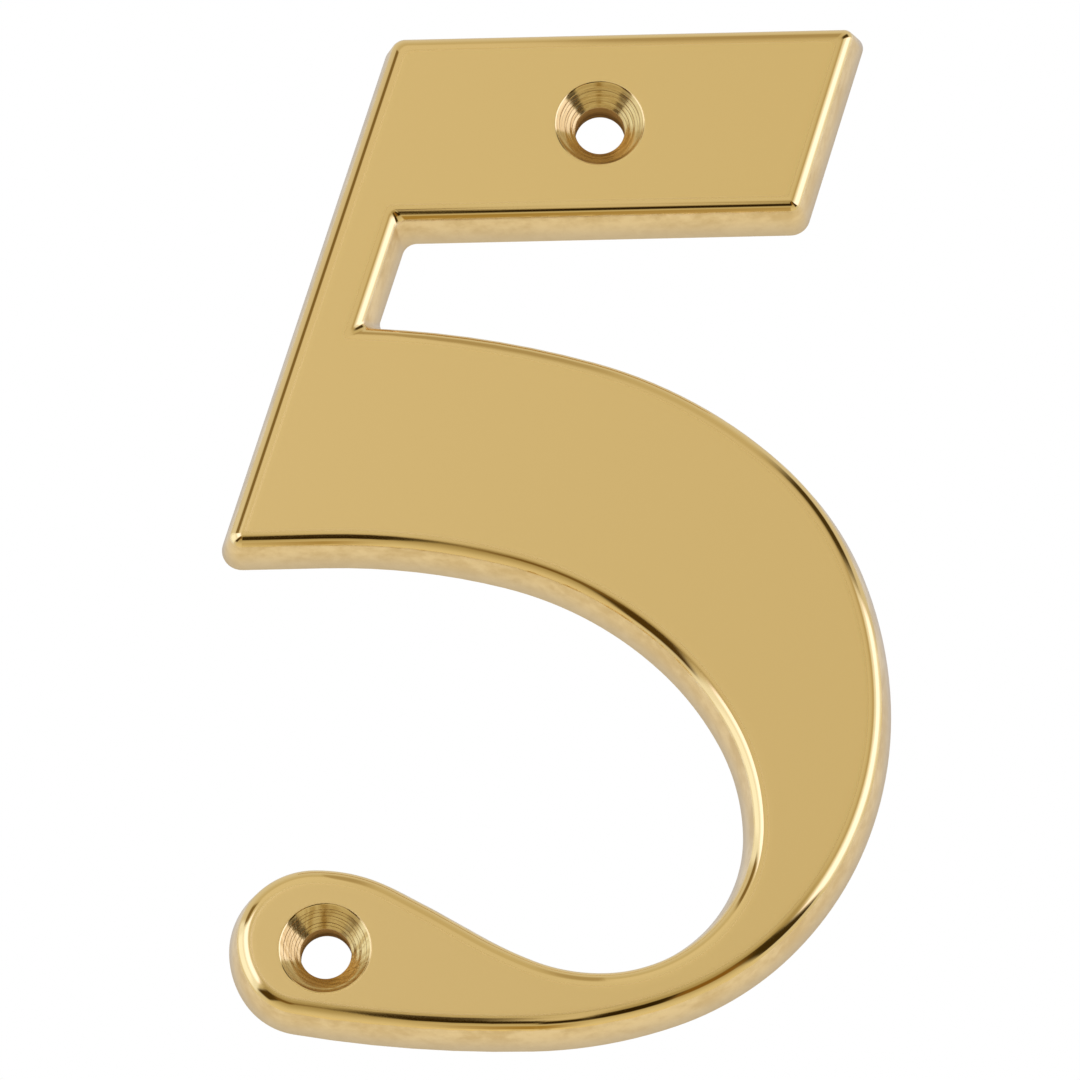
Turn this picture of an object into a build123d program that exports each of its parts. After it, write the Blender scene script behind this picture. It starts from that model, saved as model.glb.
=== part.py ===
from build123d import *
import os
from math import cos, radians, sin, sqrt, tan

# House numeral "5": one brass casting, flat polished face, drafted side walls, two countersunk screw holes.
# Millimetres. The back lies on the wall at y = 0, the face looks along -Y, +X is the reader's right.
# Outline sizes are those of the back edge. An x is measured from the centre line and a height from the
# foot of the bowl. A drop is measured down from the feature above.

# The plate and its edges
numeral_height = 76.0
plate_thickness = 3.5
draft_angle = 13.0
face_edge_radius = 0.8
face_corner_radius = 0.05

# Bar and stem, from the top down to the stem's foot
slant_angle = 18.0
bar_right = 23.8
bar_left = -11.3
bar_depth = 15.5
slot_height = 6.8
stem_width = 6.1
stem_foot_drop = 17.8
bar_stem_corner_radius = 0.6
stem_bowl_corner_radius = 0.3

# Bowl, outer edge: its foot, its right-most point, the 45 degree points between, and its shoulder at the stem
bowl_foot_x = -2.1
bowl_lower_x = 16.6
bowl_lower_height = 6.9
bowl_right_x = 23.8
bowl_right_height = 24.7
bowl_upper_x = 17.0
bowl_upper_drop = 11.2
shoulder_slope = 4.0

# Bowl, inner edge: where it leaves the stem's foot, its 45 degree point, its right-most point and its floor
inner_start_x = -16.3
inner_upper_x = 7.4
inner_upper_drop = 8.2
inner_right_x = 13.0
inner_right_height = 15.4
inner_floor_x = 3.0
inner_floor_height = 5.5

# Tail: the slope behind the bowl, then the round end
tail_slope = 32.0
tail_slope_x = -6.0
tail_slope_height = 8.7
tail_top_x = -17.3
tail_top_height = 13.4
tail_end_x = -23.4
tail_end_height = 7.6
tail_foot_slope = 11.0
tail_foot_x = -18.9
tail_foot_height = 1.6

# Screw holes
bore_diameter = 3.6
sink_diameter = 6.4
sink_angle = 82.0
sink_rim_radius = 0.15
upper_hole_x = 4.0
lower_hole_x = -16.5
lower_hole_height = 6.9

# Heights that follow from the drops
bar_underside_height = numeral_height - bar_depth
shoulder_height = bar_underside_height - slot_height
stem_foot_height = shoulder_height - stem_foot_drop
bowl_upper_height = shoulder_height - bowl_upper_drop
inner_upper_height = stem_foot_height - inner_upper_drop
upper_hole_height = numeral_height - bar_depth / 2

# An outside corner, nearly sharp on the flat face, widens to the back by the rounded edge and the leaning wall
edge_run = face_edge_radius * tan(radians(45 - draft_angle / 2))
wall_run = plate_thickness * tan(radians(draft_angle))
back_corner_radius = face_corner_radius + edge_run + wall_run

lean = tan(radians(slant_angle))


def spot(x, height):
    """A point of the outline, from its x and its height above the foot."""
    return Vector(x, height - numeral_height / 2)


def stem_left(height):
    """The x of the stem's left edge at a height."""
    return bar_left - (numeral_height - height) * lean


def stem_right(height):
    """The x of the stem's right edge at a height."""
    return stem_left(height) + stem_width


def heading(degrees):
    """The unit vector of a direction in the outline's plane."""
    return Vector(cos(radians(degrees)), sin(radians(degrees)))


def curve_between(start, start_degrees, end, end_degrees):
    """Two arcs that join smoothly and lead from one point and direction to the next."""
    start_way = heading(start_degrees)
    end_way = heading(end_degrees)
    span = end - start
    along = span.dot(start_way + end_way)
    bend = 2 * (1 - start_way.dot(end_way))
    reach = (sqrt(along * along + bend * span.dot(span)) - along) / bend
    middle = (start + end + (start_way - end_way) * reach) * 0.5
    first_arc = TangentArc(start, middle, tangent=start_way)
    TangentArc(middle, end, tangent=first_arc % 1)


def wall_corner(corner):
    """The edge between two walls that rises from a corner of the back outline."""
    return numeral.edges().sort_by_distance((corner.X, -plate_thickness / 2, corner.Y))[0]


# Corners of the stem and the bar, before they are rounded: two inside corners, then the outside ones
shoulder = spot(stem_right(shoulder_height), shoulder_height)
bar_stem_corner = spot(stem_right(bar_underside_height), bar_underside_height)
outer_corners = (
    spot(bar_right - bar_depth * lean, bar_underside_height),
    spot(bar_right, numeral_height),
    spot(bar_left, numeral_height),
    spot(stem_left(stem_foot_height), stem_foot_height),
)
inner_start = spot(inner_start_x, stem_foot_height)

# The curved rest of the outline: points it passes and the direction it has there
stations = (
    (inner_start, 0),
    (spot(inner_upper_x, inner_upper_height), -45),
    (spot(inner_right_x, inner_right_height), -90),
    (spot(inner_floor_x, inner_floor_height), 180),
    (spot(tail_slope_x, tail_slope_height), 180 - tail_slope),
    (spot(tail_top_x, tail_top_height), 180),
    (spot(tail_end_x, tail_end_height), -90),
    (spot(tail_foot_x, tail_foot_height), -tail_foot_slope),
    (spot(bowl_foot_x, 0), 0),
    (spot(bowl_lower_x, bowl_lower_height), 45),
    (spot(bowl_right_x, bowl_right_height), 90),
    (spot(bowl_upper_x, bowl_upper_height), 135),
    (shoulder, 180 - shoulder_slope),
)

with BuildPart() as numeral:
    with BuildSketch(Plane.XZ):
        with BuildLine():
            corner_radii = [0] + [back_corner_radius] * len(outer_corners)
            FilletPolyline(shoulder, bar_stem_corner, *outer_corners, inner_start, radius=corner_radii)
            for (start, start_degrees), (end, end_degrees) in zip(stations, stations[1:]):
                curve_between(start, start_degrees, end, end_degrees)
        make_face()
    extrude(amount=plate_thickness)

    # Walls lean in from the back to the face
    walls = numeral.faces().filter_by(Plane.XZ, reverse=True)
    draft(walls, neutral_plane=Plane.XZ, angle=draft_angle)

    # Inside corners above and below the slot
    fillet(wall_corner(bar_stem_corner), radius=bar_stem_corner_radius)
    fillet(wall_corner(shoulder), radius=stem_bowl_corner_radius)

    # Rounded edge all round the face
    fillet(numeral.faces().sort_by(Axis.Y)[0].edges(), radius=face_edge_radius)

    # Screw holes, sunk from the face
    with Locations(Plane.XZ.offset(plate_thickness)):
        with Locations(spot(upper_hole_x, upper_hole_height), spot(lower_hole_x, lower_hole_height)):
            CounterSinkHole(bore_diameter / 2, sink_diameter / 2, counter_sink_angle=sink_angle)
    sink_rims = numeral.faces().sort_by(Axis.Y)[0].inner_wires()
    fillet([rim.edge() for rim in sink_rims], radius=sink_rim_radius)

numeral.part.label = "numeral"
os.makedirs("parts", exist_ok=True)
export_step(numeral.part, "parts/numeral.step")
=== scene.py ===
from cmath import phase, rect
from math import ceil, cos, pi, radians, sin, sqrt, tan

import bmesh
import bpy
from mathutils import Matrix, Vector


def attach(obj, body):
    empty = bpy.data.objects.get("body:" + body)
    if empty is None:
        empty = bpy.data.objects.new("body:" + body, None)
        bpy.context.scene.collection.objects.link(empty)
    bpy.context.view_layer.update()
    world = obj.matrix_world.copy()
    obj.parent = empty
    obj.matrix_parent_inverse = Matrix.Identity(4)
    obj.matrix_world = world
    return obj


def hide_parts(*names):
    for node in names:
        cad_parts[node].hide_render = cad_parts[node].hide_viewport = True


# House numeral five, a brass casting with a buffed face: the CAD solid's shape again, as one smooth mesh
# for a mirror finish, in a small photo studio.
# Metres, in the CAD frame: the back lies on the wall at y = 0, the face looks along -Y and +Z is up.
MM = 0.001

# The plate, with the sizes of the CAD solid, in millimetres
NUMERAL_HEIGHT = 76.0
THICKNESS = 3.5
DRAFT = radians(13.0)
CAD_EDGE_RADIUS = 0.8

# Bar and stem: an x is measured from the centre line, and a height from the foot of the bowl
SLANT = radians(18.0)
BAR_RIGHT = 23.8
BAR_LEFT = -11.3
BAR_UNDERSIDE = 60.5
STEM_WIDTH = 6.1
STEM_FOOT = 35.9
SHOULDER_HEIGHT = 53.7
SHOULDER_HEADING = 176.0

# Corner radii, at the back and at the face: the inside corners between bowl and stem and between stem and
# bar, then the outside corners of the bar's lower right, upper right and upper left, and of the stem's foot
SHOULDER_RADII = (0.7, 0.35)
CORNER_RADII = ((1.1, 0.5), (1.494, 0.15), (1.0, 0.3), (1.3, 0.8), (1.494, 0.2))

# Curved part of the outline: x, height and heading in degrees of the points that it passes, along the inner
# edge of the bowl, round the tail and along the outer edge of the bowl, to its shoulder at the stem
STATIONS = (
    (-16.3, STEM_FOOT, 0.0),
    (7.4, 27.7, -45.0),
    (13.0, 15.4, -90.0),
    (3.0, 5.5, 180.0),
    (-6.0, 8.7, 148.0),
    (-17.3, 13.4, 180.0),
    (-23.4, 7.6, -90.0),
    (-18.9, 1.6, -11.0),
    (-2.1, 0.0, 0.0),
    (16.6, 6.9, 45.0),
    (23.8, 24.7, 90.0),
    (17.0, 42.5, 135.0),
)

# Buffed edge: the face falls away over BUFFED_WIDTH, to BUFFED_SLOPE, and then turns into the wall.
# A narrow flat ring inside it keeps the normals of the flat face level.
BUFFED_WIDTH = 0.65
BUFFED_SLOPE = radians(3.0)
BUFFED_STEPS = 5
EDGE_STEPS = 10
FLAT_RING = 0.03

# Broken edge round the back: its size, and how far in its middle lies each way, as a share of that
BACK_BREAK = 0.06
BREAK_MIDDLE = 0.3

# Fineness of the mesh
STEP_ANGLE = radians(2.0)
CORNER_STEPS = 10
SHARP_EDGE = radians(26.0)
MERGE_DISTANCE = 0.0005
LEVEL_TOLERANCE = 0.001

# Screw holes
UPPER_HOLE = complex(4.0, 30.25)
LOWER_HOLE = complex(-16.5, -31.1)
BORE_RADIUS = 1.8
SINK_RADIUS = 3.2
SINK_LEAN = radians(41.0)
RIM_RADIUS = 0.20
RIM_FLAT = 0.10
RIM_STEPS = 6
HOLE_STEPS = 96
# The cutter's rings: the width of each along the cone, and the lean of its flat, which ends in a small step
RINGS = ((0.30, 51.0), (0.20, 54.0), (0.27, 52.0), (0.18, 50.0), (0.29, 53.0), (0.22, 51.0), (0.25, 54.0))
RING_FLAT_SHARE = 0.75
# The turned finish begins this far inside the edge of the countersink
SINK_FINISH_MARGIN = 0.04

# Brass tones, linear
GOLD = (0.86, 0.612, 0.237)
GOLD_DEEP = (0.84, 0.585, 0.22)
FACE_GOLD = (0.96, 0.68, 0.228)
WALL_PALE = (0.935, 0.745, 0.425)
WALL_WARM = (0.79, 0.595, 0.295)
WALL_GREY = (0.73, 0.60, 0.40)
# The countersink's rings: a paler and a darker tone, painted glints and shade along them
SINK_GLINT_PALE = (0.74, 0.52, 0.18)
SINK_SHADE_GOLD = (0.56, 0.355, 0.10)
# The bore: gold at its mouth and brown deeper in, the brown painted shade in the hole
BORE_GOLD = (0.52, 0.29, 0.075)
BORE_SHADE_BROWN = (0.20, 0.10, 0.025)
BACK_PALE = (0.82, 0.62, 0.30)
BACK_DULL = (0.70, 0.52, 0.25)

# A fade is the pair of values between which a mask goes from 0 to 1. This one takes in most of a noise.
NOISE_FADE = (0.3, 0.7)

# Polished face and satin wall: depths, noise scales per metre, roughness and the height of the cast skin
HAZE_FADE = (-3.4995 * MM, -3.49 * MM)
FACE_TONE_FADE = (0.3, 1.0)
SATIN_FADE = (-3.08 * MM, -2.90 * MM)
GREY_FADE = (-2.6 * MM, 0.2 * MM)
RAGGED_SCALE = 700.0
RAGGED_REACH = 0.16 * MM
DRIFT_SCALE = 60.0
CLOUD_SCALE = 320.0
CLOUD_SHARE = 0.6
BLOTCH_SCALE = 1300.0
BLOTCH_SHARE = 0.4
PATCH_FADE = (0.36, 0.64)
SPECK_SCALE = 5200.0
SPECK_SHARE = 0.5
POLISH_ROUGHNESS = 0.05
POLISH_UNEVENNESS = 0.03
HAZE_ROUGHNESS = 0.33
WALL_ROUGHNESS = 0.32
WALL_UNEVENNESS = 0.16
SKIN_STRENGTH = 0.5
SKIN_HEIGHT = 0.03 * MM

# Turned countersink: where the holes part, depths, the fine rings, roughness and the height of the rings
HOLE_FADE = (-1.0 * MM, 1.0 * MM)
BORE_FADE = (-2.05 * MM, -1.85 * MM)
# Depths over which the bore's painted shade darkens towards the back
BORE_SHADE_FADE = (-1.7 * MM, -0.5 * MM)
RING_PITCH = 0.28 * MM
RING_WANDER = 0.9
# How far the rings' painted glints lighten the bore's painted shade
RING_SHOW_IN_BORE = 0.4
SINK_METALLIC = 0.85
SINK_ROUGHNESS = 0.09
SINK_UNEVENNESS = 0.10
RING_STRENGTH = 0.35
RING_HEIGHT = 0.02 * MM

# Linished back: the marks' scales along x, y and z per metre, roughness and the height of the marks
BELT_SCALES = (60.0, 60.0, 6000.0)
BACK_ROUGHNESS = 0.26
BACK_UNEVENNESS = 0.2
BELT_STRENGTH = 0.4
BELT_HEIGHT = 0.01 * MM

# Sockets of a Mix node that take and give colours
MIX_FIRST = 6
MIX_SECOND = 7
MIX_RESULT = 2

# Camera: below the numeral's centre and looking up at it, with a long lens
CAMERA_ELEVATION = radians(-18.0)
CAMERA_AZIMUTH = radians(0.5)
CAMERA_ROLL = radians(-1.1)
CAMERA_DISTANCE = 0.52186
CAMERA_AIM = Vector((-0.936 * MM, 0.0, -0.294 * MM))
CAMERA_NEAREST = 0.01
CAMERA_FARTHEST = 50.0
SENSOR_WIDTH = 36.0
LENS = 242.67

# Floor and background
FLOOR_HEIGHT = -0.30
FLOOR_SIZE = 6.0
FLOOR_COLOUR = (0.80, 0.79, 0.77)
FLOOR_ROUGHNESS = 0.9
BACKGROUND_WHITE = (1.0, 1.0, 1.0)

# Studio: the face mirrors the direction FACE_MIRROR above the horizon, and the panels run back from there on
# both sides. Fades are in degrees of spread or tilt, but those of the sides and the rear's heights are in
# coordinates on a unit sphere.
FACE_MIRROR = radians(18.0)
SIDE_FADE = (-0.005, 0.005)
CEILING_FADE = (25.0, 80.0)
GROUND_FADE = (30.0, 100.0)
HORIZON_FADE = (-46.0, -38.0)
FACE_LIGHT_FADE = (3.0, 12.0)
REAR_LOW_FADE = (-0.4, 0.3)
REAR_HIGH_FADE = (0.3, 0.65)
REAR_FADE = (96.0, 116.0)

# Tones of the studio, linear
CEILING_AHEAD = (0.64, 0.62, 0.55)
CEILING_BEHIND = (0.76, 0.80, 0.92)
GROUND_AHEAD = (0.46, 0.42, 0.30)
GROUND_BEHIND = (0.80, 0.79, 0.74)
FACE_LIGHT = (0.75, 0.75, 0.75)
PALE_TOP = (0.79, 0.79, 0.80)
DULL_TOP = (0.48, 0.43, 0.34)
UPPER_GAP = (0.07, 0.05, 0.016)
LEFT_GAP = (0.08, 0.05, 0.013)
RIGHT_GAP = (0.05, 0.035, 0.01)
LEFT_BROWN = (0.20, 0.13, 0.04)
RIGHT_BROWN = (0.25, 0.14, 0.03)
UNDER_LIGHT = (0.74, 0.73, 0.72)
UNDER_GOLD = (0.40, 0.29, 0.09)
UNDER_BLACK = (0.03, 0.018, 0.003)
LEFT_PANEL = (1.03, 1.18, 1.65)
RIGHT_PANEL = (1.00, 1.12, 1.55)
PANEL_PEARL = (1.2, 1.42, 2.1)
PANEL_CORE = (1.6, 1.72, 3.0)
PANEL_SHADE = (0.24, 0.18, 0.08)
PANEL_BORDER = (0.55, 0.50, 0.41)
REAR_LOW = (0.88, 0.82, 0.69)
REAR_LEVEL = (0.82, 0.77, 0.68)
REAR_HIGH = (0.71, 0.725, 0.80)


def spot(x, height):
    """A point in the plane of the numeral."""
    return complex(x, height - NUMERAL_HEIGHT / 2)


def dot(first, second):
    """The scalar product of two plane vectors."""
    return (first * second.conjugate()).real


def crossing(first, first_way, second, second_way):
    """Where two straight lines meet."""
    share = ((second - first) * second_way.conjugate()).imag / (first_way * second_way.conjugate()).imag
    return first + first_way * share


class Pen:
    """Draws a chain of edges in one plane of a bmesh.

    A plane point p lies at origin + p.real * across + p.imag * up.
    """

    def __init__(self, shape, start, origin, across, up):
        self.shape = shape
        self.origin, self.across, self.up = origin, across, up
        self.axis = across.cross(up)
        self.before = set(shape.edges)
        self.tip = shape.verts.new(self.place(start))

    def place(self, point):
        """Where a plane point is in space."""
        return self.origin + self.across * point.real + self.up * point.imag

    def go(self, point):
        """Draws a straight edge."""
        made = bmesh.ops.extrude_vert_indiv(self.shape, verts=[self.tip])
        self.tip = made["verts"][0]
        self.tip.co = self.place(point)

    def bend(self, centre, turn, steps):
        """Draws an arc, to the left if turn is positive."""
        made = bmesh.ops.spin(
            self.shape, geom=[self.tip], cent=self.place(centre), axis=self.axis, angle=turn, steps=steps
        )
        self.tip = next(part for part in made["geom_last"] if isinstance(part, bmesh.types.BMVert))

    def drawn(self):
        """The edges drawn so far."""
        return [edge for edge in self.shape.edges if edge not in self.before]


def stem_left(height):
    """The x of the stem's left edge at a height."""
    return BAR_LEFT - (NUMERAL_HEIGHT - height) * tan(SLANT)


def stem_right(height):
    """The x of the stem's right edge at a height."""
    return stem_left(height) + STEM_WIDTH


def straight_sides(inset):
    """(point, way) of each straight side, from the right of the stem to its foot, moved in by inset."""
    up_slant = rect(1, pi / 2 - SLANT)
    sides = (
        (spot(stem_right(SHOULDER_HEIGHT), SHOULDER_HEIGHT), up_slant),
        (spot(BAR_LEFT, BAR_UNDERSIDE), 1),
        (spot(BAR_RIGHT, NUMERAL_HEIGHT), up_slant),
        (spot(BAR_RIGHT, NUMERAL_HEIGHT), -1),
        (spot(BAR_LEFT, NUMERAL_HEIGHT), -up_slant),
        (spot(BAR_LEFT, STEM_FOOT), 1),
    )
    return [(point + 1j * way * inset, way) for point, way in sides]


def arc_from(start, way, end):
    """(centre, turn) of the arc that leaves start along way and reaches end."""
    span = end - start
    turn = 2 * phase(span / way)
    return start + 1j * way * abs(span) / (2 * sin(turn / 2)), turn


def smooth_arcs():
    """(start, way, centre, turn) of each arc of the curved outline, two from each station to the next."""
    arcs = []
    shoulder = (stem_right(SHOULDER_HEIGHT), SHOULDER_HEIGHT, SHOULDER_HEADING)
    stops = [(spot(x, height), rect(1, radians(heading))) for x, height, heading in (*STATIONS, shoulder)]
    for (start, way), (end, end_way) in zip(stops, stops[1:]):
        span = end - start
        along = dot(span, way + end_way)
        bend = 2 * (1 - dot(way, end_way))
        reach = (sqrt(along * along + bend * abs(span) ** 2) - along) / bend
        middle = (start + end + (way - end_way) * reach) / 2
        for first, second in ((start, middle), (middle, end)):
            centre, turn = arc_from(first, way, second)
            arcs.append((first, way, centre, turn))
            way *= rect(1, turn)
    return arcs


def shoulder_corner(stem, stem_way, last_arc, inset, radius):
    """The arc of the inside corner that touches the bowl's last arc and the stem.

    Returns its centre, where it touches the stem, the turn of the bowl's arc as far as it, and its own turn.
    """
    start, way, bowl_centre, _ = last_arc
    bowl_radius = abs(start - bowl_centre) - inset
    beside = stem - 1j * stem_way * radius
    foot = beside + stem_way * dot(bowl_centre - beside, stem_way)
    lift = sqrt((bowl_radius + radius) ** 2 - abs(foot - bowl_centre) ** 2)
    centre = foot + stem_way * lift
    touch = centre + 1j * stem_way * radius
    bowl_turn = phase((centre - bowl_centre) / (start - bowl_centre))
    turn = phase(stem_way / (way * rect(1, bowl_turn)))
    return centre, touch, bowl_turn, turn


def draw_outline(shape, inset, depth, shoulder_radius, radii):
    """Draws the outline at a depth, moved into the metal by inset.

    Returns the edges of its straight part and those of its curved part.
    """
    sides = straight_sides(inset)
    arcs = smooth_arcs()
    shoulder, touch, bowl_turn, shoulder_turn = shoulder_corner(*sides[0], arcs[-1], inset, shoulder_radius)
    plane = (Vector((0, depth, 0)), Vector((1, 0, 0)), Vector((0, 0, 1)))

    # From the shoulder up the stem, round the bar and down to where the inner edge of the bowl starts
    pen = Pen(shape, touch, *plane)
    for (point, way), (following, next_way), radius in zip(sides, sides[1:], radii):
        corner = crossing(point, way, following, next_way)
        turn = phase(next_way / way)
        inside = 1j if turn > 0 else -1j
        corner_start = corner - way * radius * tan(abs(turn) / 2)
        pen.go(corner_start)
        pen.bend(corner_start + inside * way * radius, turn, CORNER_STEPS)
    start, way, _, _ = arcs[0]
    curve_start = start + 1j * way * inset
    pen.go(curve_start)
    straight = pen.drawn()

    # From there round the bowl and the tail, and back to the shoulder
    pen = Pen(shape, curve_start, *plane)
    for _, _, centre, turn in arcs[:-1]:
        pen.bend(centre, turn, ceil(abs(turn) / STEP_ANGLE))
    _, _, centre, turn = arcs[-1]
    pen.bend(centre, bowl_turn, ceil(turn / STEP_ANGLE))
    pen.bend(shoulder, shoulder_turn, CORNER_STEPS)
    return straight, pen.drawn()


def edge_profile():
    """(inset, depth) of each outline from back to face, and the inset of the CAD solid's flat face."""
    face_inset = CAD_EDGE_RADIUS * tan(pi / 4 - DRAFT / 2) + THICKNESS * tan(DRAFT)
    buffed_radius = BUFFED_WIDTH / sin(BUFFED_SLOPE)
    drop = buffed_radius * (1 - cos(BUFFED_SLOPE))
    # The radius that carries the buffed slope round to the wall
    wall_turn = pi / 2 - DRAFT
    gap = face_inset - (THICKNESS - drop) * tan(DRAFT)
    rise = cos(BUFFED_SLOPE) - cos(wall_turn)
    radius = gap / (sin(wall_turn) - sin(BUFFED_SLOPE) - rise * tan(DRAFT))
    wall_top = -THICKNESS + drop + radius * rise
    profile = [
        (BACK_BREAK, 0.0),
        (BACK_BREAK * BREAK_MIDDLE, -BACK_BREAK * BREAK_MIDDLE),
        (BACK_BREAK * tan(DRAFT), -BACK_BREAK),
        (-wall_top / 2 * tan(DRAFT), wall_top / 2),
    ]
    for step in range(EDGE_STEPS + 1):
        angle = wall_turn + (BUFFED_SLOPE - wall_turn) * step / EDGE_STEPS
        inset = face_inset - radius * (sin(angle) - sin(BUFFED_SLOPE))
        profile.append((inset, -THICKNESS + drop + radius * (cos(BUFFED_SLOPE) - cos(angle))))
    for step in range(1, BUFFED_STEPS + 1):
        angle = BUFFED_SLOPE * (1 - step / BUFFED_STEPS)
        inset = face_inset + BUFFED_WIDTH - buffed_radius * sin(angle)
        profile.append((inset, -THICKNESS + buffed_radius * (1 - cos(angle))))
    profile.append((face_inset + BUFFED_WIDTH + FLAT_RING, -THICKNESS))
    return profile, face_inset


def add_walls(shape):
    """The wall, the rounded edge and the buffed border of the face, one outline after another."""
    profile, face_inset = edge_profile()
    last = None
    for inset, depth in profile:
        share = min(inset / face_inset, 1.0)
        radii = [back + (face - back) * share for back, face in (SHOULDER_RADII, *CORNER_RADII)]
        chains = draw_outline(shape, inset, depth, radii[0], radii[1:])
        if last:
            for below, above in zip(last, chains):
                bmesh.ops.bridge_loops(shape, edges=below + above)
        last = chains


def add_hole(shape, hole):
    """A screw hole: a soft rim, a countersink with the cutter's rings, and the bore."""
    axis_point = Vector((hole.real, 0, hole.imag))
    outward = Vector((1, 0, 0))
    inward = Vector((0, 1, 0))
    lean_way = complex(-sin(SINK_LEAN), cos(SINK_LEAN))
    rim_turn = pi / 2 - SINK_LEAN
    rim_reach = RIM_RADIUS * tan(rim_turn / 2)
    rim_start = complex(SINK_RADIUS + rim_reach, -THICKNESS)
    before = set(shape.verts)
    pen = Pen(shape, rim_start + RIM_FLAT, axis_point, outward, inward)
    pen.go(rim_start)
    pen.bend(rim_start + 1j * RIM_RADIUS, -rim_turn, RIM_STEPS)
    ring_start = complex(SINK_RADIUS, -THICKNESS) + lean_way * rim_reach
    room = (SINK_RADIUS - BORE_RADIUS) / sin(SINK_LEAN) - rim_reach
    scale = room / sum(width for width, _ in RINGS)
    for width, lean in RINGS:
        flat_way = complex(-sin(radians(lean)), cos(radians(lean)))
        pen.go(ring_start + flat_way * width * scale * RING_FLAT_SHARE)
        ring_start += lean_way * width * scale
        pen.go(ring_start)
    pen.go(complex(BORE_RADIUS, 0.0))
    chain = [vert for vert in shape.verts if vert not in before]
    edges = {edge for vert in chain for edge in vert.link_edges}
    bmesh.ops.spin(
        shape,
        geom=chain + list(edges),
        cent=axis_point,
        axis=inward,
        angle=2 * pi,
        steps=HOLE_STEPS,
        use_merge=True,
    )


def fill_level(shape, depth):
    """Closes the flat surface at a depth, round the holes."""
    rims = [
        edge
        for edge in shape.edges
        if edge.is_boundary and all(abs(vert.co.y - depth) < LEVEL_TOLERANCE for vert in edge.verts)
    ]
    bmesh.ops.triangle_fill(shape, edges=rims, use_beauty=False)


def new_piece(name, shape):
    """Makes a bmesh an object of the scene."""
    mesh = bpy.data.meshes.new(name)
    shape.to_mesh(mesh)
    shape.free()
    piece = bpy.data.objects.new(name, mesh)
    bpy.context.scene.collection.objects.link(piece)
    return piece


def polished_numeral():
    """The whole numeral as one closed mesh."""
    shape = bmesh.new()
    add_walls(shape)
    for hole in (UPPER_HOLE, LOWER_HOLE):
        add_hole(shape, hole)
    bmesh.ops.remove_doubles(shape, verts=shape.verts, dist=MERGE_DISTANCE)
    fill_level(shape, -THICKNESS)
    fill_level(shape, 0.0)
    bmesh.ops.recalc_face_normals(shape, faces=shape.faces)
    bmesh.ops.scale(shape, verts=shape.verts, vec=(MM, MM, MM))
    for face in shape.faces:
        face.smooth = True
    for edge in shape.edges:
        edge.smooth = edge.calc_face_angle(0.0) < SHARP_EDGE
    return new_piece("polished_numeral", shape)


class Wiring:
    """Adds nodes to one node tree and links them."""

    def __init__(self, tree):
        self.tree = tree

    def node(self, kind, **settings):
        """A new node with its settings."""
        made = self.tree.nodes.new(kind)
        for name, value in settings.items():
            setattr(made, name, value)
        return made

    def feed(self, socket, value):
        """Links a socket to value if that is another node's output, and otherwise sets it."""
        if isinstance(value, bpy.types.NodeSocket):
            self.tree.links.new(value, socket)
        elif socket.type == "RGBA":
            socket.default_value = (*value, 1.0)
        else:
            socket.default_value = value

    def math(self, operation, *values):
        """The result of a Math node."""
        made = self.node("ShaderNodeMath", operation=operation)
        for socket, value in zip(made.inputs, values):
            self.feed(socket, value)
        return made.outputs["Value"]

    def vector(self, operation, *values):
        """The result of a Vector Math node, which is a number for a length."""
        made = self.node("ShaderNodeVectorMath", operation=operation)
        for socket, value in zip(made.inputs, values):
            self.feed(socket, value)
        return made.outputs["Value" if operation == "LENGTH" else "Vector"]

    def apart(self, vector):
        """The x, y and z of a vector."""
        made = self.node("ShaderNodeSeparateXYZ")
        self.feed(made.inputs["Vector"], vector)
        return made.outputs

    def step(self, value, low, high):
        """0 below low, 1 above high, and a smooth rise between."""
        made = self.node("ShaderNodeMapRange", interpolation_type="SMOOTHSTEP")
        self.feed(made.inputs["Value"], value)
        self.feed(made.inputs["From Min"], low)
        self.feed(made.inputs["From Max"], high)
        return made.outputs["Result"]

    def opposite(self, share):
        """1 where share is 0, and 0 where it is 1."""
        return self.math("SUBTRACT", 1.0, share)

    def blend(self, share, first, second):
        """The colour that goes from first to second as share goes from 0 to 1."""
        made = self.node("ShaderNodeMix", data_type="RGBA")
        self.feed(made.inputs["Factor"], share)
        self.feed(made.inputs[MIX_FIRST], first)
        self.feed(made.inputs[MIX_SECOND], second)
        return made.outputs[MIX_RESULT]

    def noise(self, position, scale, detail=2.0, roughness=0.5):
        """Noise over the surface, about 0.5."""
        made = self.node("ShaderNodeTexNoise")
        self.feed(made.inputs["Vector"], position)
        made.inputs["Scale"].default_value = scale
        made.inputs["Detail"].default_value = detail
        made.inputs["Roughness"].default_value = roughness
        return made.outputs["Fac"]

    def bump(self, shader, height, strength, distance):
        """Raises the shader's surface by a height, in units of a distance and at a given strength."""
        made = self.node("ShaderNodeBump")
        made.inputs["Strength"].default_value = strength
        made.inputs["Distance"].default_value = distance
        self.feed(made.inputs["Height"], height)
        self.feed(shader.inputs["Normal"], made.outputs["Normal"])


def new_finish(name):
    """A material with a Principled BSDF of bare metal, and its wiring."""
    finish = bpy.data.materials.new(name)
    finish.use_nodes = True
    wiring = Wiring(finish.node_tree)
    shader = finish.node_tree.nodes["Principled BSDF"]
    shader.inputs["Metallic"].default_value = 1.0
    place = wiring.node("ShaderNodeTexCoord").outputs["Object"]
    return finish, wiring, shader, place


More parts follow.
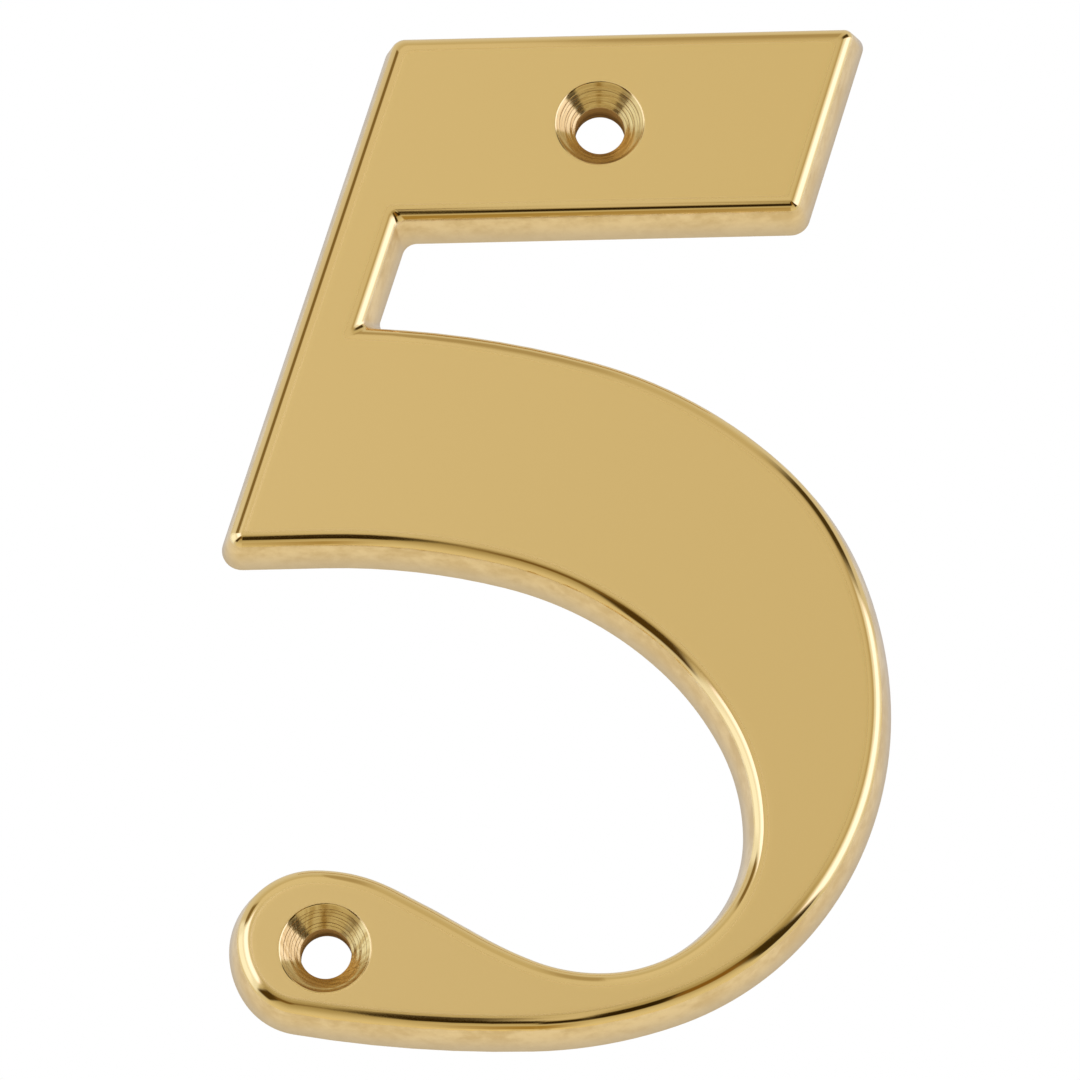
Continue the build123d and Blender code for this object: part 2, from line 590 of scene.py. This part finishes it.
def polished_face_and_satin_wall():
    """Polish on the face, a clear mirror on its rounded edge, and the satin of the cast side wall."""
    finish, wiring, shader, place = new_finish("polished_face_and_satin_wall")
    _, depth, _ = wiring.apart(place)
    uneven = wiring.noise(place, RAGGED_SCALE)
    ragged = wiring.math("MULTIPLY_ADD", uneven, RAGGED_REACH, depth)
    satin = wiring.step(ragged, *SATIN_FADE)
    low_down = wiring.step(ragged, *GREY_FADE)
    drift = wiring.noise(place, DRIFT_SCALE, detail=3.0)
    cloud = wiring.noise(place, CLOUD_SCALE)
    blotch = wiring.noise(place, BLOTCH_SCALE, detail=4.0, roughness=0.6)
    speck = wiring.noise(place, SPECK_SCALE)

    # The flat of the face keeps a soft haze from the buffing wheel, and the edge round it is a clear mirror
    haze = wiring.opposite(wiring.step(depth, *HAZE_FADE))
    gold = wiring.blend(wiring.step(drift, *NOISE_FADE), GOLD, GOLD_DEEP)
    gold = wiring.blend(wiring.step(haze, *FACE_TONE_FADE), gold, FACE_GOLD)
    patches = wiring.math("MULTIPLY_ADD", cloud, CLOUD_SHARE, wiring.math("MULTIPLY", blotch, BLOTCH_SHARE))
    wall = wiring.blend(wiring.step(patches, *PATCH_FADE), WALL_PALE, WALL_WARM)
    wall = wiring.blend(low_down, wall, WALL_GREY)
    wiring.feed(shader.inputs["Base Color"], wiring.blend(satin, gold, wall))

    polish = wiring.math("MULTIPLY_ADD", drift, POLISH_UNEVENNESS, POLISH_ROUGHNESS)
    polish = wiring.math("MULTIPLY_ADD", haze, HAZE_ROUGHNESS, polish)
    grain = wiring.math("MULTIPLY_ADD", blotch, WALL_UNEVENNESS, WALL_ROUGHNESS)
    dull = wiring.math("MULTIPLY", satin, wiring.math("SUBTRACT", grain, polish))
    wiring.feed(shader.inputs["Roughness"], wiring.math("ADD", polish, dull))
    skin = wiring.math("ADD", blotch, wiring.math("MULTIPLY", speck, SPECK_SHARE))
    wiring.bump(shader, wiring.math("MULTIPLY", skin, satin), SKIN_STRENGTH, SKIN_HEIGHT)
    return finish


def turned_countersink():
    """Turned brass with the cutter's uneven rings, painted paler and darker along them as glints and shade,
    and a dull bore painted brown, darker deeper in, as shade in the hole.
    """
    finish, wiring, shader, place = new_finish("turned_countersink")
    _, depth, rise = wiring.apart(place)

    # The distance from the axis of the hole that is near, and the direction from it
    lower, upper = [(hole.real * MM, 0.0, hole.imag * MM) for hole in (LOWER_HOLE, UPPER_HOLE)]
    centre = wiring.blend(wiring.step(rise, *HOLE_FADE), lower, upper)
    flat = wiring.vector("MULTIPLY", wiring.vector("SUBTRACT", place, centre), (1.0, 0.0, 1.0))
    radius = wiring.vector("LENGTH", flat)
    bearing = wiring.vector("NORMALIZE", flat)

    # Rings: fine from rim to bore, and slow to change round the hole
    inward = wiring.math("SUBTRACT", depth, radius)
    down_the_cone = wiring.node("ShaderNodeCombineXYZ")
    wiring.feed(down_the_cone.inputs["Y"], wiring.math("DIVIDE", inward, RING_PITCH))
    wander = (RING_WANDER, RING_WANDER, RING_WANDER)
    rings_at = wiring.vector("MULTIPLY_ADD", bearing, wander, down_the_cone.outputs["Vector"])
    rings = wiring.noise(rings_at, 1.0, roughness=0.6)
    ring_glints = wiring.step(rings, *NOISE_FADE)

    bore = wiring.step(depth, *BORE_FADE)
    bore_shade_depth = wiring.step(depth, *BORE_SHADE_FADE)
    # The rings painted paler and darker, as glints and shade
    tone = wiring.blend(ring_glints, SINK_SHADE_GOLD, SINK_GLINT_PALE)
    # The bore: painted brown shade, darker deeper in, lightened a little along the rings
    dull = wiring.blend(wiring.math("MULTIPLY_ADD", ring_glints, -RING_SHOW_IN_BORE, bore_shade_depth), BORE_GOLD, BORE_SHADE_BROWN)
    wiring.feed(shader.inputs["Base Color"], wiring.blend(bore, tone, dull))
    wiring.feed(shader.inputs["Metallic"], wiring.math("MULTIPLY_ADD", bore, -SINK_METALLIC, SINK_METALLIC))
    rough = wiring.math("MULTIPLY_ADD", rings, SINK_UNEVENNESS, SINK_ROUGHNESS)
    wiring.feed(shader.inputs["Roughness"], rough)
    shader.inputs["Specular IOR Level"].default_value = 0.0
    wiring.bump(shader, rings, RING_STRENGTH, RING_HEIGHT)
    return finish


def linished_back():
    """Straight belt marks across the flat back."""
    finish, wiring, shader, place = new_finish("linished_back")
    stretch = wiring.node("ShaderNodeMapping")
    wiring.feed(stretch.inputs["Vector"], place)
    stretch.inputs["Scale"].default_value = BELT_SCALES
    marks = wiring.noise(stretch.outputs["Vector"], 1.0, detail=4.0, roughness=0.6)
    tone = wiring.blend(wiring.step(marks, *NOISE_FADE), BACK_DULL, BACK_PALE)
    wiring.feed(shader.inputs["Base Color"], tone)
    rough = wiring.math("MULTIPLY_ADD", marks, BACK_UNEVENNESS, BACK_ROUGHNESS)
    wiring.feed(shader.inputs["Roughness"], rough)
    wiring.bump(shader, marks, BELT_STRENGTH, BELT_HEIGHT)
    return finish


def finish_numeral(numeral):
    """Gives each face of the mesh the finish of the surface that it is on."""
    body, sink, back = range(3)
    for finish in (polished_face_and_satin_wall(), turned_countersink(), linished_back()):
        numeral.data.materials.append(finish)
    for face in numeral.data.polygons:
        middle = complex(face.center.x, face.center.z) / MM
        near = min(abs(middle - UPPER_HOLE), abs(middle - LOWER_HOLE))
        if face.center.y > -LEVEL_TOLERANCE * MM:
            face.material_index = back
        elif near < SINK_RADIUS - SINK_FINISH_MARGIN:
            face.material_index = sink
        else:
            face.material_index = body


def pale_floor():
    """A plain pale floor, well below the camera."""
    shape = bmesh.new()
    bmesh.ops.create_grid(shape, x_segments=1, y_segments=1, size=FLOOR_SIZE / 2)
    bmesh.ops.translate(shape, verts=shape.verts, vec=(0.0, 0.0, FLOOR_HEIGHT))
    floor = new_piece("pale_floor", shape)
    finish = bpy.data.materials.new("pale_floor")
    finish.use_nodes = True
    shader = finish.node_tree.nodes["Principled BSDF"]
    shader.inputs["Base Color"].default_value = (*FLOOR_COLOUR, 1.0)
    shader.inputs["Roughness"].default_value = FLOOR_ROUGHNESS
    floor.data.materials.append(finish)
    floor.visible_glossy = False


class Studio:
    """The light that comes from each direction.

    A direction's spread is its angle from the one that the face mirrors, in degrees. Its tilt says which way
    it lies from there, on the left or the right: 0 is level with it, 90 straight above, -90 straight below.
    """

    def __init__(self, wiring):
        self.wiring = wiring
        direction = wiring.node("ShaderNodeTexCoord").outputs["Generated"]
        turned = wiring.node("ShaderNodeVectorRotate", rotation_type="X_AXIS")
        wiring.feed(turned.inputs["Vector"], direction)
        turned.inputs["Angle"].default_value = FACE_MIRROR
        side, rear, self.rise = wiring.apart(turned.outputs["Vector"])
        ahead = wiring.math("MULTIPLY", rear, -1.0)
        self.spread = wiring.math("DEGREES", wiring.math("ARCCOSINE", ahead))
        level = wiring.math("ABSOLUTE", side)
        self.tilt = wiring.math("DEGREES", wiring.math("ARCTAN2", self.rise, level))
        self.on_right = wiring.step(side, *SIDE_FADE)
        self.on_left = wiring.opposite(self.on_right)
        self.tone = None

    def line(self, near, far, ends):
        """A tilt that goes evenly from one end to the other as the spread goes from near to far."""
        slope = (ends[1] - ends[0]) / (far - near)
        return self.wiring.math("MULTIPLY_ADD", self.spread, slope, ends[0] - slope * near)

    def put(self, tone, side, spread, low, high, soft):
        """Adds a four-sided area of one tone.

        spread is where it begins and ends, and low and high are its least and greatest tilt at these two.
        soft is half the width of the soft border along its tilts, at its beginning and at its end.
        """
        wiring = self.wiring
        near, far = spread
        soft_tilt, soft_near, soft_far = soft
        over = wiring.math("SUBTRACT", self.tilt, self.line(near, far, low))
        under = wiring.math("SUBTRACT", self.line(near, far, high), self.tilt)
        share = wiring.step(wiring.math("MINIMUM", over, under), -soft_tilt, soft_tilt)
        begun = wiring.step(self.spread, near - soft_near, near + soft_near)
        ended = wiring.step(self.spread, far - soft_far, far + soft_far)
        for limit in (begun, wiring.opposite(ended), side):
            share = wiring.math("MULTIPLY", share, limit)
        self.tone = wiring.blend(share, self.tone, tone)


def put_tops_and_gaps(studio, left, right):
    """The tops and the dark gap over the panels, and the dark gaps and browns under them."""
    studio.put(PALE_TOP, left, spread=(3, 24), low=(8, 8), high=(95, 95), soft=(8, 2, 8))
    studio.put(UPPER_GAP, right, spread=(18, 62), low=(22, 27), high=(46, 53), soft=(5, 9, 6))
    studio.put(DULL_TOP, right, spread=(12, 48), low=(74, 74), high=(95, 95), soft=(6, 8, 10))
    studio.put(LEFT_GAP, left, spread=(17, 74), low=(-66, -48), high=(-46, -29), soft=(3, 6, 9))
    studio.put(RIGHT_GAP, right, spread=(17, 83), low=(-62, -46), high=(-50, -26), soft=(3, 4, 4))
    studio.put(LEFT_BROWN, left, spread=(17, 34), low=(-76, -73), high=(-56, -56), soft=(4, 5, 6))
    studio.put(RIGHT_BROWN, right, spread=(20, 50), low=(-73, -73), high=(-57, -54), soft=(4, 5, 5))


def put_underside(studio, left, right):
    """Below: light near the face's direction, gold towards the rear, and black between them."""
    for side, top in ((left, -87), (right, -84)):
        studio.put(UNDER_LIGHT, side, spread=(6, 27), low=(-95, -95), high=(top, top), soft=(1.5, 2, 4))
        studio.put(UNDER_GOLD, side, spread=(70, 106), low=(-97, -97), high=(-85, -85), soft=(5, 6, 8))
    studio.put(UNDER_BLACK, left, spread=(9.2, 46), low=(-85, -90), high=(-74.5, -82), soft=(1.5, 0.9, 4))
    studio.put(UNDER_BLACK, left, spread=(23, 44), low=(-95, -95), high=(-87, -87), soft=(1.5, 3, 5))
    studio.put(UNDER_BLACK, right, spread=(20, 56), low=(-83.5, -83.5), high=(-71, -71), soft=(1.5, 4, 5))
    studio.put(UNDER_BLACK, right, spread=(34, 57), low=(-95, -95), high=(-83, -83), soft=(1.5, 3, 5))


def put_side_panels(studio, left, right):
    """The side panels, their bright cores, a shade over the left one and a border before the right one."""
    studio.put(LEFT_PANEL, left, spread=(10, 98), low=(-38, -26), high=(12, 34), soft=(3, 3, 10))
    studio.put(PANEL_PEARL, left, spread=(50, 92), low=(-24, -20), high=(12, 20), soft=(4, 8, 8))
    studio.put(PANEL_CORE, left, spread=(10, 34), low=(-39, -33), high=(10, 11), soft=(2, 2, 10))
    studio.put(PANEL_SHADE, left, spread=(22, 50), low=(15, 18), high=(34, 38), soft=(3, 5, 5))
    studio.put(PANEL_BORDER, right, spread=(12, 19), low=(-38, -38), high=(22, 22), soft=(5, 3, 4))
    studio.put(RIGHT_PANEL, right, spread=(26, 98), low=(-40, -20), high=(20, 28), soft=(2, 7, 10))
    studio.put(PANEL_CORE, right, spread=(40, 84), low=(-40, -24), high=(-4, 0), soft=(2, 10, 7))
    studio.put(PANEL_CORE, right, spread=(44, 80), low=(-8, -6), high=(20, 26), soft=(2, 6, 7))


def studio_light():
    """Two long side panels with dark gaps over and under them, a dark underside and a pale room."""
    world = bpy.data.worlds.new("studio_light")
    bpy.context.scene.world = world
    world.use_nodes = True
    world.node_tree.nodes.clear()
    wiring = Wiring(world.node_tree)
    studio = Studio(wiring)

    # Ceiling and ground, each from the face's direction to the rear, and the light that the face mirrors
    ceiling = wiring.blend(wiring.step(studio.spread, *CEILING_FADE), CEILING_AHEAD, CEILING_BEHIND)
    ground = wiring.blend(wiring.step(studio.spread, *GROUND_FADE), GROUND_AHEAD, GROUND_BEHIND)
    room = wiring.blend(wiring.step(studio.tilt, *HORIZON_FADE), ground, ceiling)
    facing = wiring.opposite(wiring.step(studio.spread, *FACE_LIGHT_FADE))
    studio.tone = wiring.blend(facing, room, FACE_LIGHT)

    put_tops_and_gaps(studio, studio.on_left, studio.on_right)
    put_underside(studio, studio.on_left, studio.on_right)
    put_side_panels(studio, studio.on_left, studio.on_right)

    # The pale rear, cooler above
    rear = wiring.blend(wiring.step(studio.rise, *REAR_LOW_FADE), REAR_LOW, REAR_LEVEL)
    rear = wiring.blend(wiring.step(studio.rise, *REAR_HIGH_FADE), rear, REAR_HIGH)
    tone = wiring.blend(wiring.step(studio.spread, *REAR_FADE), studio.tone, rear)

    # The camera itself sees plain white behind the numeral
    seen = wiring.node("ShaderNodeLightPath").outputs["Is Camera Ray"]
    background = wiring.node("ShaderNodeBackground")
    wiring.feed(background.inputs["Color"], wiring.blend(seen, tone, BACKGROUND_WHITE))
    output = wiring.node("ShaderNodeOutputWorld")
    wiring.feed(output.inputs["Surface"], background.outputs["Background"])


def photo_camera():
    """A long lens, from a little below the numeral."""
    back = Vector((
        sin(CAMERA_AZIMUTH) * cos(CAMERA_ELEVATION),
        -cos(CAMERA_AZIMUTH) * cos(CAMERA_ELEVATION),
        sin(CAMERA_ELEVATION),
    ))
    right = Vector((0.0, 0.0, 1.0)).cross(back).normalized()
    up = back.cross(right)
    turn = Matrix.Rotation(CAMERA_ROLL, 3, back)
    axes = Matrix((turn @ right, turn @ up, back)).transposed()
    lens = bpy.data.cameras.new("photo_camera")
    lens.sensor_width = SENSOR_WIDTH
    lens.lens = LENS
    lens.clip_start = CAMERA_NEAREST
    lens.clip_end = CAMERA_FARTHEST
    camera = bpy.data.objects.new("photo_camera", lens)
    bpy.context.scene.collection.objects.link(camera)
    camera.matrix_world = Matrix.Translation(CAMERA_AIM + back * CAMERA_DISTANCE) @ axes.to_4x4()
    bpy.context.scene.camera = camera


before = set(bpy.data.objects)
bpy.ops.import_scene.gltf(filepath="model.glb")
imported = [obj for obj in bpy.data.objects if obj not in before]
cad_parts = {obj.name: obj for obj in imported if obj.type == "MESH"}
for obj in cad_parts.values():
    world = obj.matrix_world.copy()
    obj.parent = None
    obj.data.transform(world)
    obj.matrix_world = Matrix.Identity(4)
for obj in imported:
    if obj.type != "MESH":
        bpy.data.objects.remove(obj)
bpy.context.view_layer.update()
bpy.context.scene.view_settings.view_transform = "Standard"
numeral = polished_numeral()
finish_numeral(numeral)
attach(numeral, "root")
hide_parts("numeral")
pale_floor()
studio_light()
photo_camera()
